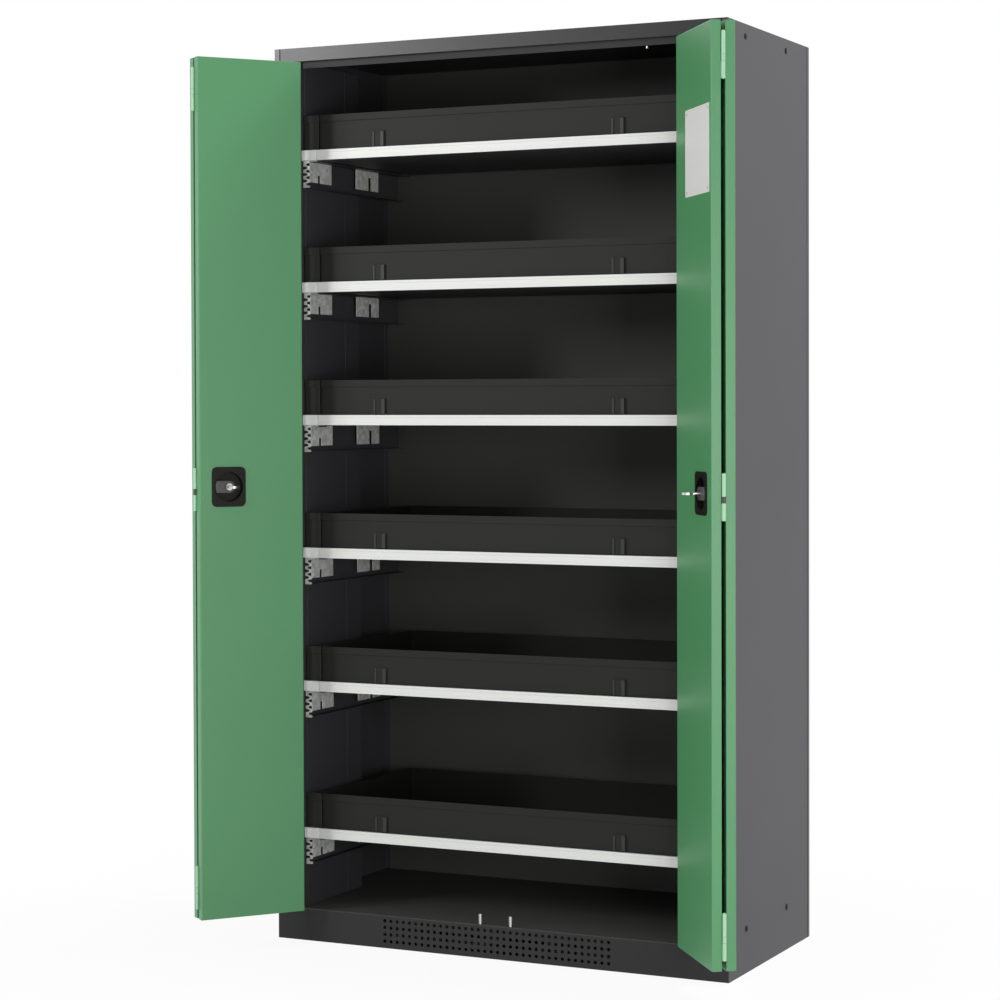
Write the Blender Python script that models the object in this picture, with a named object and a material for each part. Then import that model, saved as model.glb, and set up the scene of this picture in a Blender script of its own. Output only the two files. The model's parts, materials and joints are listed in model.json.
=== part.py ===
"""Tall chemical storage cabinet: a steel body, two folding doors and six pull-out trays.

Metres, +Z up. The origin is the bottom centre of the steel body. The doors are on the -Y side and
stand open and folded, as far as their hinges let them, and every tray is pushed in.
"""

import math

import bmesh
import bpy
from mathutils import Euler, Matrix, Vector

# Body
BODY_WIDTH = 1.055
BODY_DEPTH = 0.500
BODY_HEIGHT = 1.950
SHEET = 0.0015
SEAM = 0.0003
POST_WIDTH = 0.0585
POST_RETURN = 0.025
REAR_RETURN = 0.012
HEADER_HEIGHT = 0.0297
HEADER_RETURN = 0.0115
STOP_RAIL_DROP = 0.0148
ROOF_FLANGE = 0.025
OVERRUN = 0.002
BITE = 0.001

# Plinth, floor and its two keeper pins
PLINTH_HEIGHT = 0.0707
PLINTH_FOOT = 0.003
PLINTH_FOOT_WIDTH = 0.060
PLINTH_CENTRE_BAR = 0.080
FLOOR_SKIRT = 0.024
FLOOR_SKIRT_SETBACK = 0.020
VENT_PITCH = 0.015
VENT_ROW_PITCH = 0.0147
VENT_BELOW_TOP = 0.0116
VENT_RADIUS = 0.0041
VENT_COLUMNS = 36
VENT_ROWS = 4
VENT_SIDES = 6
KEEPER_PIN_RADIUS = 0.004
KEEPER_PIN_HEIGHT = 0.022
KEEPER_PIN_FROM_CENTRE = 0.0355
KEEPER_PIN_FROM_FRONT = 0.0062

# Wall channels that carry the runners
FRONT_UPRIGHT_WIDTH = 0.176
FRONT_UPRIGHT_FROM_FRONT = 0.115
REAR_UPRIGHT_WIDTH = 0.066
REAR_UPRIGHT_FROM_BACK = 0.262

# Trays: heights of the white strips' centres, as shares of the body's height
LEVEL_HEIGHT_SHARES = (0.1203, 0.2857, 0.4355, 0.5843, 0.7328, 0.8804)
TRAY_SETBACK = 0.011
TRAY_REAR_ROOM = 0.050
STRIP_HEIGHT = 0.022
STRIP_DEPTH = 0.007
STRIP_GROOVE_HEIGHT = 0.011
STRIP_GROOVE_DEPTH = 0.001
CARRIER_DROP = 0.0006
CARRIER_SIDE_GAP = 0.0003
TUB_SIDE_GAP = 0.0021
TUB_REAR_GAP = 0.005
TUB_WALL = 0.003
TUB_ABOVE_STRIP = 0.076
TUB_HEM_HEIGHT = 0.015
TUB_HEM_PROUD = 0.002
TUB_HEM_SIDE_PROUD = 0.0003
TUB_CORNER = 0.0035
CLIP_WIDTH = 0.028
CLIP_HEIGHT = 0.034
CLIP_PROUD = 0.0035
CLIP_FROM_CENTRE = 0.280
CLIP_ABOVE_STRIP = 0.0015

# Runners
RUNNER_BEHIND_POST = 0.0015
RUNNER_WIDTH = 0.0369
RUNNER_GAP = 0.0006
RUNNER_SETBACK = 0.017
RUNNER_REAR_ROOM = 0.045
TRACK_HALF_HEIGHT = 0.0115
TRACK_LIP_INSET = 0.003
RUNNER_BELOW = 0.070
RUNNER_FOOT = 0.016
CAP_DEPTH = 0.0075
PAD_REACH = 0.008
PAD_LENGTH = 0.023
PAD_FROM_CAP = 0.0035
PAD_THICKNESS = 0.0043
PLATE_INSET = 0.0245
PLATE_HEIGHT = 0.044
FRONT_PLATE_LENGTH = 0.095
REAR_PLATE_LENGTH = 0.105
REAR_PLATE_FROM_REAR = 0.1155
FRONT_PLATE_FROM_CAP = 0.008
FRONT_SLOT_WIDTH = 0.010
FRONT_SLOT_HEIGHT = 0.017
REAR_SLOT_WIDTH = 0.013
REAR_SLOT_HEIGHT = 0.030
FRONT_SLOT_SHARE = 0.37
REAR_SLOT_SHARE = 0.55
TOOTH_COUNT = 4
TOOTH_DEPTH = 0.009
TOOTH_ROOT_SHARE = 0.25
END_PLATE_THICKNESS = 0.003
WEB_SETBACK = 0.014
GUARD_OUTER_GAP = 0.002
GUARD_LAP = 0.0017
ROLLER_CLEARANCE = 0.0003
ROLLER_SIDE_GAP = 0.0015
ROLLER_FROM_REAR = 0.030

# Door leaves, all four alike
LEAF_OVER_POST = 0.006
LEAF_THICKNESS = 0.020
LEAF_SKIN = 0.0015
LEAF_LIP = 0.018
LEAF_EDGE_RADIUS = 0.0018
LEAF_BODY_GAP = 0.0005
LEAF_CENTRE_GAP = 0.002
LEAF_ABOVE_PLINTH = 0.004
LEAF_BELOW_HEADER = 0.0085
OPEN_ANGLE = math.radians(128.2)
FOLD_ANGLE = math.radians(180)

# Pivot hinges between body and outer leaf
PIVOT_FROM_END = 0.002
PIVOT_BEHIND_FACE = 0.0019
PIVOT_BARREL_RADIUS = 0.0045
PIVOT_KNUCKLE = 0.024
PIVOT_NOTCH_RADIUS = 0.006
PIVOT_PIN_RADIUS = 0.002
PIVOT_PIN_OVER = 0.001
PIVOT_ARM = 0.003
PIVOT_ARM_OFFSET = 0.0035
PIVOT_HEIGHT_SHARES = (0.14, 0.86)

# Fold hinges between the two leaves
FOLD_GAP = 0.0095
FOLD_END_GAP = 0.0015
FOLD_BARREL_RADIUS = 0.004
FOLD_UPPER_BARREL = 0.045
FOLD_COLLAR = 0.012
FOLD_LOWER_BARREL = 0.034
FOLD_WEB_LENGTH = 0.012
FOLD_WEB_THICKNESS = 0.00325
FOLD_PIN_RADIUS = 0.0018
FOLD_PIN_OVER = 0.001
FOLD_FROM_END = 0.067
KNUCKLE_GAP = 0.0005
PIN_CLEARANCE = 0.0004

# Lock: cup, turn handle and key, on the inner leaf
LOCK_FROM_FOLD_END = 0.065
LOCK_HEIGHT = 0.9985
CUP_WIDTH = 0.076
CUP_HEIGHT = 0.085
CUP_CORNER = 0.011
CUP_FLANGE = 0.0022
CUP_BODY_WIDTH = 0.072
CUP_BODY_HEIGHT = 0.076
CUP_DEPTH = 0.016
CUP_FLOOR = 0.004
RECESS_RADIUS = 0.032
HANDLE_CLEARANCE = 0.0015
HANDLE_HEIGHT = 0.026
HANDLE_PROUD = 0.004
HANDLE_EDGE = 0.0015
SPINDLE_RADIUS = 0.006
SPINDLE_LENGTH = 0.008
PLUG_RADIUS = 0.0078
PLUG_DEPTH = 0.010
KEY_SHANK_WIDTH = 0.007
KEY_SHANK_LENGTH = 0.012
KEY_THICKNESS = 0.0026
KEY_BOW_RADIUS = 0.0125
KEY_BOW_THICKNESS = 0.0045
KEY_HOLE_RADIUS = 0.0022
TURN_CLEARANCE = 0.0003

ROUND_SIDES = 24
SMALL_SIDES = 12
CORNER_STEPS = 5
EDGE_STEPS = 2
ROUND_PROFILE = 0.5
SMOOTH_ANGLE = math.radians(35)

# Places that follow from the sizes above
HALF_WIDTH = BODY_WIDTH / 2
FRONT = -BODY_DEPTH / 2
BACK = BODY_DEPTH / 2
INNER_HALF = HALF_WIDTH - SHEET - SEAM
POST_EDGE = HALF_WIDTH - POST_WIDTH
HEADER_LOW = BODY_HEIGHT - HEADER_HEIGHT
BACK_FACE = BACK - SHEET - SEAM
RUNNER_OUTER = POST_EDGE - RUNNER_BEHIND_POST
RUNNER_INNER = RUNNER_OUTER - RUNNER_WIDTH
RUNNER_FRONT = FRONT + RUNNER_SETBACK
RUNNER_REAR = BACK - RUNNER_REAR_ROOM
UPRIGHT_FACE = RUNNER_OUTER + SEAM
TRAY_HALF = RUNNER_INNER - RUNNER_GAP
TRAY_FRONT = FRONT + TRAY_SETBACK
TRAY_BACK = BACK - TRAY_REAR_ROOM
STRIP_HALF = STRIP_HEIGHT / 2
CARRIER_LOW = -STRIP_HALF + CARRIER_DROP
CARRIER_FRONT = TRAY_FRONT + STRIP_DEPTH + SEAM
TUB_FRONT = CARRIER_FRONT + SHEET + SEAM
CAP_BACK = TRAY_FRONT + CAP_DEPTH
DOOR_LOW = PLINTH_HEIGHT + LEAF_ABOVE_PLINTH
DOOR_HIGH = HEADER_LOW - LEAF_BELOW_HEADER
DOOR_HEIGHT = DOOR_HIGH - DOOR_LOW
LEAF_WIDTH = (POST_EDGE + LEAF_OVER_POST - LEAF_CENTRE_GAP) / 2 - FOLD_END_GAP
LEAF_INNER_Y = FRONT - LEAF_BODY_GAP
LEAF_OUTER_Y = LEAF_INNER_Y - LEAF_THICKNESS
FOLD_X = LEAF_CENTRE_GAP + LEAF_WIDTH + FOLD_END_GAP
FOLD_Y = LEAF_INNER_Y + FOLD_GAP / 2
PIVOT_X = FOLD_X + FOLD_END_GAP + LEAF_WIDTH - PIVOT_FROM_END
PIVOT_Y = LEAF_OUTER_Y + PIVOT_BEHIND_FACE
PIVOT_HEIGHTS = [DOOR_LOW + share * DOOR_HEIGHT for share in PIVOT_HEIGHT_SHARES]
FOLD_HEIGHTS = [DOOR_LOW + FOLD_FROM_END, (DOOR_LOW + DOOR_HIGH) / 2, DOOR_HIGH - FOLD_FROM_END]
LEVELS = [share * BODY_HEIGHT for share in LEVEL_HEIGHT_SHARES]

# Colour, roughness and metallic value of each finish
FINISHES = {
    "anthracite_powder_coat": ((0.075, 0.075, 0.080), 0.55, 0.0),
    "green_powder_coat": ((0.115, 0.300, 0.150), 0.45, 0.0),
    "white_powder_coat": ((0.800, 0.800, 0.780), 0.45, 0.0),
    "galvanised_steel": ((0.560, 0.560, 0.550), 0.40, 0.9),
    "black_tub_plastic": ((0.030, 0.030, 0.028), 0.50, 0.0),
    "black_lock_plastic": ((0.015, 0.015, 0.015), 0.40, 0.0),
    "grey_handle_plastic": ((0.090, 0.088, 0.092), 0.45, 0.0),
    "nickel_plated_steel": ((0.700, 0.690, 0.670), 0.25, 1.0),
}


def make_finish(name):
    colour, roughness, metallic = FINISHES[name]
    finish = bpy.data.materials.new(name)
    finish.use_nodes = True
    shader = finish.node_tree.nodes["Principled BSDF"]
    shader.inputs["Base Color"].default_value = (*colour, 1)
    shader.inputs["Roughness"].default_value = roughness
    shader.inputs["Metallic"].default_value = metallic
    finish.diffuse_color = (*colour, 1)
    return finish


def add_box(bm, low, high):
    """Adds a box between two corners, which may be given in either order."""
    low, high = Vector(low), Vector(high)
    size = Matrix.Diagonal([*(abs(h - l) for l, h in zip(low, high)), 1])
    made = bmesh.ops.create_cube(bm, size=1, matrix=Matrix.Translation((low + high) / 2) @ size)
    return made["verts"]


def add_rod(bm, centre, radius, length, axis="Z", sides=SMALL_SIDES):
    """Adds a closed cylinder along an axis, with a flat of its outline facing each way across it."""
    turns = {"X": Euler((0, math.pi / 2, 0)), "Y": Euler((math.pi / 2, 0, 0)), "Z": Euler((0, 0, 0))}
    half_step = Matrix.Rotation(math.pi / sides, 4, "Z")
    place = Matrix.Translation(centre) @ turns[axis].to_matrix().to_4x4() @ half_step
    bmesh.ops.create_cone(
        bm, cap_ends=True, segments=sides, radius1=radius, radius2=radius, depth=length, matrix=place
    )


def add_outline(bm, points, low, high, axis, holes=()):
    """Adds a flat outline, given across the axis, stretched along it from low to high."""
    turns = {
        "X": Matrix(((0, 0, 1, 0), (1, 0, 0, 0), (0, 1, 0, 0), (0, 0, 0, 1))),
        "Y": Matrix(((1, 0, 0, 0), (0, 0, -1, 0), (0, 1, 0, 0), (0, 0, 0, 1))),
        "Z": Matrix.Identity(4),
    }
    middle = (low + high) / 2
    curve = bpy.data.curves.new("outline", "CURVE")
    curve.dimensions = "2D"
    curve.fill_mode = "BOTH"
    curve.extrude = (high - low) / 2
    for ring in (points, *holes):
        spline = curve.splines.new("POLY")
        spline.points.add(len(ring) - 1)
        for point, (u, v) in zip(spline.points, ring):
            point.co = (u, v, 0, 1)
        spline.use_cyclic_u = True
    guide = bpy.data.objects.new("outline", curve)
    bpy.context.scene.collection.objects.link(guide)
    bpy.context.view_layer.update()
    mesh = bpy.data.meshes.new_from_object(guide.evaluated_get(bpy.context.evaluated_depsgraph_get()))
    offset = {"X": (middle, 0, 0), "Y": (0, middle, 0), "Z": (0, 0, middle)}[axis]
    mesh.transform(Matrix.Translation(offset) @ turns[axis])
    piece = bmesh.new()
    piece.from_mesh(mesh)
    bmesh.ops.remove_doubles(piece, verts=piece.verts, dist=SEAM / 10)
    bmesh.ops.recalc_face_normals(piece, faces=piece.faces)
    piece.to_mesh(mesh)
    piece.free()
    bm.from_mesh(mesh)
    bpy.data.objects.remove(guide)
    bpy.data.curves.remove(curve)
    bpy.data.meshes.remove(mesh)


def arc(centre, radius, start, end, steps):
    """Points along an arc, its ends included."""
    turn = [start + (end - start) * k / steps for k in range(steps + 1)]
    return [(centre[0] + radius * math.cos(a), centre[1] + radius * math.sin(a)) for a in turn]


def rounded_rectangle(half_width, half_height, radius):
    """The outline of a rectangle about the origin with round corners."""
    points = []
    for corner, (sx, sy) in enumerate(((1, 1), (-1, 1), (-1, -1), (1, -1))):
        centre = (sx * (half_width - radius), sy * (half_height - radius))
        start = corner * math.pi / 2
        points += arc(centre, radius, start, start + math.pi / 2, CORNER_STEPS)
    return points


def round_edges(bm, edges, radius):
    bmesh.ops.bevel(
        bm, geom=edges, offset=radius, segments=EDGE_STEPS, affect="EDGES", profile=ROUND_PROFILE
    )


def helper_object(bm, name):
    mesh = bpy.data.meshes.new(name)
    bm.to_mesh(mesh)
    bm.free()
    piece = bpy.data.objects.new(name, mesh)
    bpy.context.scene.collection.objects.link(piece)
    return piece


def carved(name, base, adds=None, cuts=()):
    """The mesh of a base with a group of pieces joined on and then others cut away."""
    body = helper_object(base, name)
    tools = []
    steps = ([("UNION", adds)] if adds else []) + [("DIFFERENCE", cut) for cut in cuts]
    for operation, shape in steps:
        tool = helper_object(shape, name + "_tool")
        tools.append(tool)
        boolean = body.modifiers.new(operation.lower(), "BOOLEAN")
        boolean.operation = operation
        boolean.object = tool
        boolean.use_self = True
    bpy.context.view_layer.update()
    mesh = bpy.data.meshes.new_from_object(body.evaluated_get(bpy.context.evaluated_depsgraph_get()))
    mesh.name = name
    mesh.shade_smooth()
    mesh.set_sharp_from_angle(angle=SMOOTH_ANGLE)
    for piece in (body, *tools):
        used = piece.data
        bpy.data.objects.remove(piece)
        bpy.data.meshes.remove(used)
    return mesh


def place(name, mesh, finish, parent=None, location=(0, 0, 0)):
    """Puts a mesh in the cabinet's collection as a named sub-part."""
    part = bpy.data.objects.new(name, mesh)
    if not mesh.materials:
        mesh.materials.append(finishes[finish])
    cabinet.objects.link(part)
    part.parent = parent
    part.location = location
    return part


def joint_frame(name, location, turn=0, parent=None):
    """An empty on a joint's axis, which carries the pieces that move about it."""
    frame = bpy.data.objects.new(name, None)
    frame.empty_display_size = LEAF_THICKNESS
    cabinet.objects.link(frame)
    frame.parent = parent
    frame.location = location
    frame.rotation_euler = (0, 0, turn)
    return frame


def knuckle_spans(middle, *lengths):
    """Lowest and highest z of each knuckle of a hinge, from the bottom up, about its middle height."""
    low = middle - (sum(lengths) + KNUCKLE_GAP * len(lengths[1:])) / 2
    spans = []
    for length in lengths:
        spans.append((low, low + length))
        low += length + KNUCKLE_GAP
    return spans


def fold_spans(middle):
    """The inner leaf's barrel, the pin's collar and the outer leaf's barrel of a fold hinge."""
    return knuckle_spans(middle, FOLD_LOWER_BARREL, FOLD_COLLAR, FOLD_UPPER_BARREL)


def side_panel(side):
    """Outer skin, front post, rear return and the body's knuckles of the two pivot hinges."""
    skin = bmesh.new()
    add_box(skin, (side * HALF_WIDTH, FRONT, 0), (side * (HALF_WIDTH - SHEET), BACK, BODY_HEIGHT))
    adds, bore = bmesh.new(), bmesh.new()
    low, high = PLINTH_HEIGHT + SEAM, HEADER_LOW - SEAM
    add_box(adds, (side * (HALF_WIDTH - SHEET / 2), FRONT, low), (side * POST_EDGE, FRONT + SHEET, high))
    add_box(
        adds,
        (side * POST_EDGE, FRONT + SHEET / 2, low),
        (side * (POST_EDGE + SHEET), FRONT + POST_RETURN, high),
    )
    add_box(
        adds,
        (side * (HALF_WIDTH - SHEET / 2), BACK - SHEET, 0),
        (side * (HALF_WIDTH - REAR_RETURN), BACK, BODY_HEIGHT),
    )
    axis = (side * PIVOT_X, PIVOT_Y)
    for height in PIVOT_HEIGHTS:
        add_rod(adds, (*axis, height), PIVOT_BARREL_RADIUS, PIVOT_KNUCKLE)
        arm_low = (side * (PIVOT_X + PIVOT_ARM_OFFSET), PIVOT_Y, height - PIVOT_KNUCKLE / 2)
        arm_high = (
            side * (PIVOT_X + PIVOT_ARM_OFFSET + PIVOT_ARM),
            FRONT + SHEET / 2,
            height + PIVOT_KNUCKLE / 2,
        )
        add_box(adds, arm_low, arm_high)
        add_rod(bore, (*axis, height), PIVOT_PIN_RADIUS + PIN_CLEARANCE, PIVOT_KNUCKLE + 2 * OVERRUN)
    return carved("side_panel", skin, adds, [bore])


def back_panel():
    panel = bmesh.new()
    half = HALF_WIDTH - REAR_RETURN - SEAM
    add_box(panel, (-half, BACK - SHEET, 0), (half, BACK, BODY_HEIGHT))
    return carved("back_panel", panel)


def roof_panel():
    """Top sheet, the header over the doors and the door stop rail set back behind it."""
    top, adds = bmesh.new(), bmesh.new()
    half, stop_half = INNER_HALF, POST_EDGE - SEAM
    add_box(top, (-half, FRONT, BODY_HEIGHT - SHEET), (half, BACK_FACE, BODY_HEIGHT))
    add_box(adds, (-half, FRONT, HEADER_LOW), (half, FRONT + SHEET, BODY_HEIGHT - SHEET / 2))
    rail_back = FRONT + HEADER_RETURN
    add_box(adds, (-half, FRONT + SHEET / 2, HEADER_LOW), (half, rail_back, HEADER_LOW + SHEET))
    rail_low = HEADER_LOW - STOP_RAIL_DROP
    add_box(adds, (-stop_half, rail_back - SHEET, rail_low), (stop_half, rail_back, HEADER_LOW + SHEET / 2))
    for side in (-1, 1):
        low = (side * half, FRONT + SHEET / 2, BODY_HEIGHT - ROOF_FLANGE)
        add_box(adds, low, (side * (half - SHEET), BACK_FACE - REAR_RETURN, BODY_HEIGHT - SHEET / 2))
    return carved("roof_panel", top, adds)


def floor_panel():
    """Floor sheet with its skirts and the two keeper pins that the door locks hook behind."""
    sheet, adds = bmesh.new(), bmesh.new()
    front = FRONT + SHEET + SEAM
    low = PLINTH_HEIGHT - SHEET
    add_box(sheet, (-INNER_HALF, front, low), (INNER_HALF, BACK_FACE, PLINTH_HEIGHT))
    reach = POST_EDGE - POST_WIDTH / 2
    rear = BACK_FACE - SHEET - SEAM
    skirt = front + FLOOR_SKIRT_SETBACK
    for near, far in ((skirt, skirt + SHEET), (rear - SHEET, rear)):
        add_box(adds, (-reach, near, PLINTH_HEIGHT - FLOOR_SKIRT), (reach, far, low + SHEET / 2))
    pin_length = KEEPER_PIN_HEIGHT + SHEET / 2
    pin_middle = PLINTH_HEIGHT - SHEET / 2 + pin_length / 2
    for side in (-1, 1):
        spot = (side * KEEPER_PIN_FROM_CENTRE, FRONT + KEEPER_PIN_FROM_FRONT, pin_middle)
        add_rod(adds, spot, KEEPER_PIN_RADIUS, pin_length)
    return carved("floor_panel", sheet, adds)


def vent_holes():
    """The plinth's rows of small vent holes, each a ring of points."""
    holes = []
    for row in range(VENT_ROWS):
        for column in range(VENT_COLUMNS):
            x = (column - (VENT_COLUMNS - 1) / 2) * VENT_PITCH
            z = PLINTH_HEIGHT - VENT_BELOW_TOP - row * VENT_ROW_PITCH
            holes.append(arc((x, z), VENT_RADIUS, 0, 2 * math.pi, VENT_SIDES)[:-1])
    return holes


def plinth_frame():
    """Perforated front plate on a flat foot frame with a centre bar, which stands on the ground."""
    plate, adds = bmesh.new(), bmesh.new()
    half = INNER_HALF
    ring = [(-half, 0), (half, 0), (half, PLINTH_HEIGHT), (-half, PLINTH_HEIGHT)]
    add_outline(plate, ring, FRONT, FRONT + SHEET, "Y", vent_holes())
    front, rear = FRONT + SHEET / 2, BACK_FACE
    wall_top = PLINTH_HEIGHT - SHEET - SEAM
    foot = PLINTH_FOOT_WIDTH
    add_box(adds, (-half, front, 0), (half, FRONT + foot, PLINTH_FOOT))
    add_box(adds, (-half, rear - foot, 0), (half, rear, PLINTH_FOOT))
    add_box(adds, (-PLINTH_CENTRE_BAR / 2, front, 0), (PLINTH_CENTRE_BAR / 2, rear, PLINTH_FOOT))
    add_box(adds, (-half, rear - SHEET, 0), (half, rear, wall_top))
    for side in (-1, 1):
        add_box(adds, (side * half, front, 0), (side * (half - foot), rear, PLINTH_FOOT))
        side_front = FRONT + 2 * SHEET + 2 * SEAM
        add_box(adds, (side * half, side_front, 0), (side * (half - SHEET), rear, wall_top))
    return carved("plinth_frame", plate, adds)


def upright(side, width):
    """A channel that stands on the floor, closed towards the trays and open towards the side skin."""
    near, far = side * UPRIGHT_FACE, side * INNER_HALF
    inside = side * (UPRIGHT_FACE + SHEET)
    half, wall = width / 2, width / 2 - SHEET
    ring = [(near, -half), (far, -half), (far, -wall), (inside, -wall)]
    ring += [(u, -v) for u, v in reversed(ring)]
    channel = bmesh.new()
    add_outline(channel, ring, PLINTH_HEIGHT + SEAM, HEADER_LOW - SEAM, "Z")
    return carved("upright", channel)


def runner(side):
    """Fixed track of one tray side: roller channel, deep web, hook-in plates, end cap and tub guard."""
    web, adds = bmesh.new(), bmesh.new()
    outer, inner = RUNNER_OUTER, RUNNER_INNER + TRACK_LIP_INSET
    front, rear = RUNNER_FRONT, RUNNER_REAR
    shelf = -TRACK_HALF_HEIGHT - SHEET
    top = TRACK_HALF_HEIGHT + SHEET
    below = front + WEB_SETBACK
    ring = [(front, top), (rear, top), (rear, -RUNNER_BELOW)]
    ring += [(below, -RUNNER_BELOW), (below, shelf), (front, shelf)]
    add_outline(web, ring, *sorted((side * outer, side * (outer - SHEET))), "X")
    lap = outer - SHEET / 2
    for low, high in ((TRACK_HALF_HEIGHT, top), (shelf, -TRACK_HALF_HEIGHT)):
        add_box(adds, (side * lap, front, low), (side * inner, rear, high))
    foot_top = -RUNNER_BELOW + SHEET
    add_box(adds, (side * lap, front, -RUNNER_BELOW), (side * (outer - RUNNER_FOOT), rear, foot_top))
    add_box(adds, (side * RUNNER_INNER, TRAY_FRONT, -STRIP_HALF), (side * outer, CAP_BACK, STRIP_HALF))
    pad_front = CAP_BACK + PAD_FROM_CAP
    pad_low = (side * (inner + BITE), pad_front, CARRIER_LOW - SEAM - PAD_THICKNESS)
    pad_high = (side * (inner - PAD_REACH), pad_front + PAD_LENGTH, CARRIER_LOW - SEAM)
    add_box(adds, pad_low, pad_high)
    plate_x = RUNNER_INNER + PLATE_INSET
    plate_low = shelf - PLATE_HEIGHT
    slots = bmesh.new()
    front_plate = CAP_BACK + FRONT_PLATE_FROM_CAP
    rear_plate = rear - REAR_PLATE_FROM_REAR - REAR_PLATE_LENGTH
    for start, length, slot, slot_width, slot_height in (
        (front_plate, FRONT_PLATE_LENGTH, FRONT_SLOT_SHARE, FRONT_SLOT_WIDTH, FRONT_SLOT_HEIGHT),
        (rear_plate, REAR_PLATE_LENGTH, REAR_SLOT_SHARE, REAR_SLOT_WIDTH, REAR_SLOT_HEIGHT),
    ):
        low = (side * plate_x, start, plate_low)
        add_box(adds, low, (side * (plate_x + SHEET), start + length, shelf + SHEET / 2))
        slot_y = start + slot * length
        slot_low = (side * (plate_x - OVERRUN), slot_y, plate_low - OVERRUN)
        slot_high = (side * (plate_x + SHEET + OVERRUN), slot_y + slot_width, plate_low + slot_height)
        add_box(slots, slot_low, slot_high)
    ribbon = [(side * x, z) for x, z in toothed_ribbon(outer - RUNNER_FOOT, lap)]
    add_outline(adds, ribbon, CAP_BACK - BITE, CAP_BACK - BITE + END_PLATE_THICKNESS, "Y")
    add_guard(adds, side, inner)
    return carved("runner", web, adds, [slots])


def toothed_ribbon(near, far):
    """Outline of the runner's end plate, notched from either edge by turns, from its foot to its shelf."""
    low, high = SHEET / 2 - RUNNER_BELOW, -TRACK_HALF_HEIGHT - SHEET / 2
    step = (high - low) / (2 * TOOTH_COUNT)
    root = TOOTH_ROOT_SHARE * step
    rising, falling = [(near, low)], [(far, high)]
    for tooth in range(TOOTH_COUNT):
        base = low + (2 * tooth + 1) * step
        rising += [(near, base - step / 2), (near + TOOTH_DEPTH, base - root)]
        rising += [(near + TOOTH_DEPTH, base + root), (near, base + step / 2)]
    for tooth in range(1, TOOTH_COUNT):
        base = high - 2 * tooth * step
        falling += [(far, base + step / 2), (far - TOOTH_DEPTH, base + root)]
        falling += [(far - TOOTH_DEPTH, base - root), (far, base - step / 2)]
    return rising + [(near, high)] + falling + [(far, low)]


def add_guard(adds, side, near):
    """Joins the guard beside the tub: a wall on the track's upper lip, folded outwards in line with the tub."""
    root, top = TRACK_HALF_HEIGHT + SHEET / 2, STRIP_HALF + TUB_ABOVE_STRIP
    inner, outer = side * (RUNNER_INNER - GUARD_LAP), side * (RUNNER_OUTER - GUARD_OUTER_GAP)
    add_box(adds, (side * near, TUB_FRONT, root), (side * (near + SHEET), TRAY_BACK - TUB_REAR_GAP, top))
    add_box(adds, (inner, TUB_FRONT, root), (outer, TUB_FRONT + SHEET, top))
    hem = (inner, TUB_FRONT - TUB_HEM_PROUD, top - TUB_HEM_HEIGHT)
    add_box(adds, hem, (outer, TUB_FRONT + SHEET, top))


def strip():
    """White front strip of a tray with a shallow groove along its face."""
    front, rear, half = TRAY_FRONT, TRAY_FRONT + STRIP_DEPTH, STRIP_HALF
    groove, bottom = STRIP_GROOVE_HEIGHT / 2, TRAY_FRONT + STRIP_GROOVE_DEPTH
    ring = [(rear, -half), (rear, half), (front, half), (front, groove)]
    ring += [(bottom, groove), (bottom, -groove), (front, -groove), (front, -half)]
    bar = bmesh.new()
    add_outline(bar, ring, -TRAY_HALF, TRAY_HALF, "X")
    return carved("strip", bar)


def carrier():
    """Sheet-steel frame that the tub drops into, with a roller at each rear corner."""
    sheet, adds = bmesh.new(), bmesh.new()
    half, top = TRAY_HALF - CARRIER_SIDE_GAP, STRIP_HALF - CARRIER_DROP
    low, lap = CARRIER_LOW, CARRIER_LOW + SHEET / 2
    add_box(sheet, (-half, CARRIER_FRONT, low), (half, TRAY_BACK, low + SHEET))
    for near, far in ((CARRIER_FRONT, CARRIER_FRONT + SHEET), (TRAY_BACK - SHEET, TRAY_BACK)):
        add_box(adds, (-half, near, lap), (half, far, top))
    radius = TRACK_HALF_HEIGHT - ROLLER_CLEARANCE
    tip = RUNNER_OUTER - SHEET - ROLLER_SIDE_GAP
    for side in (-1, 1):
        add_box(adds, (side * half, CARRIER_FRONT, lap), (side * (half - SHEET), TRAY_BACK, top))
        root = half - SHEET
        middle = (side * (root + tip) / 2, TRAY_BACK - ROLLER_FROM_REAR, 0)
        add_rod(adds, middle, radius, tip - root, "X")
    return carved("carrier", sheet, adds)


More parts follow.
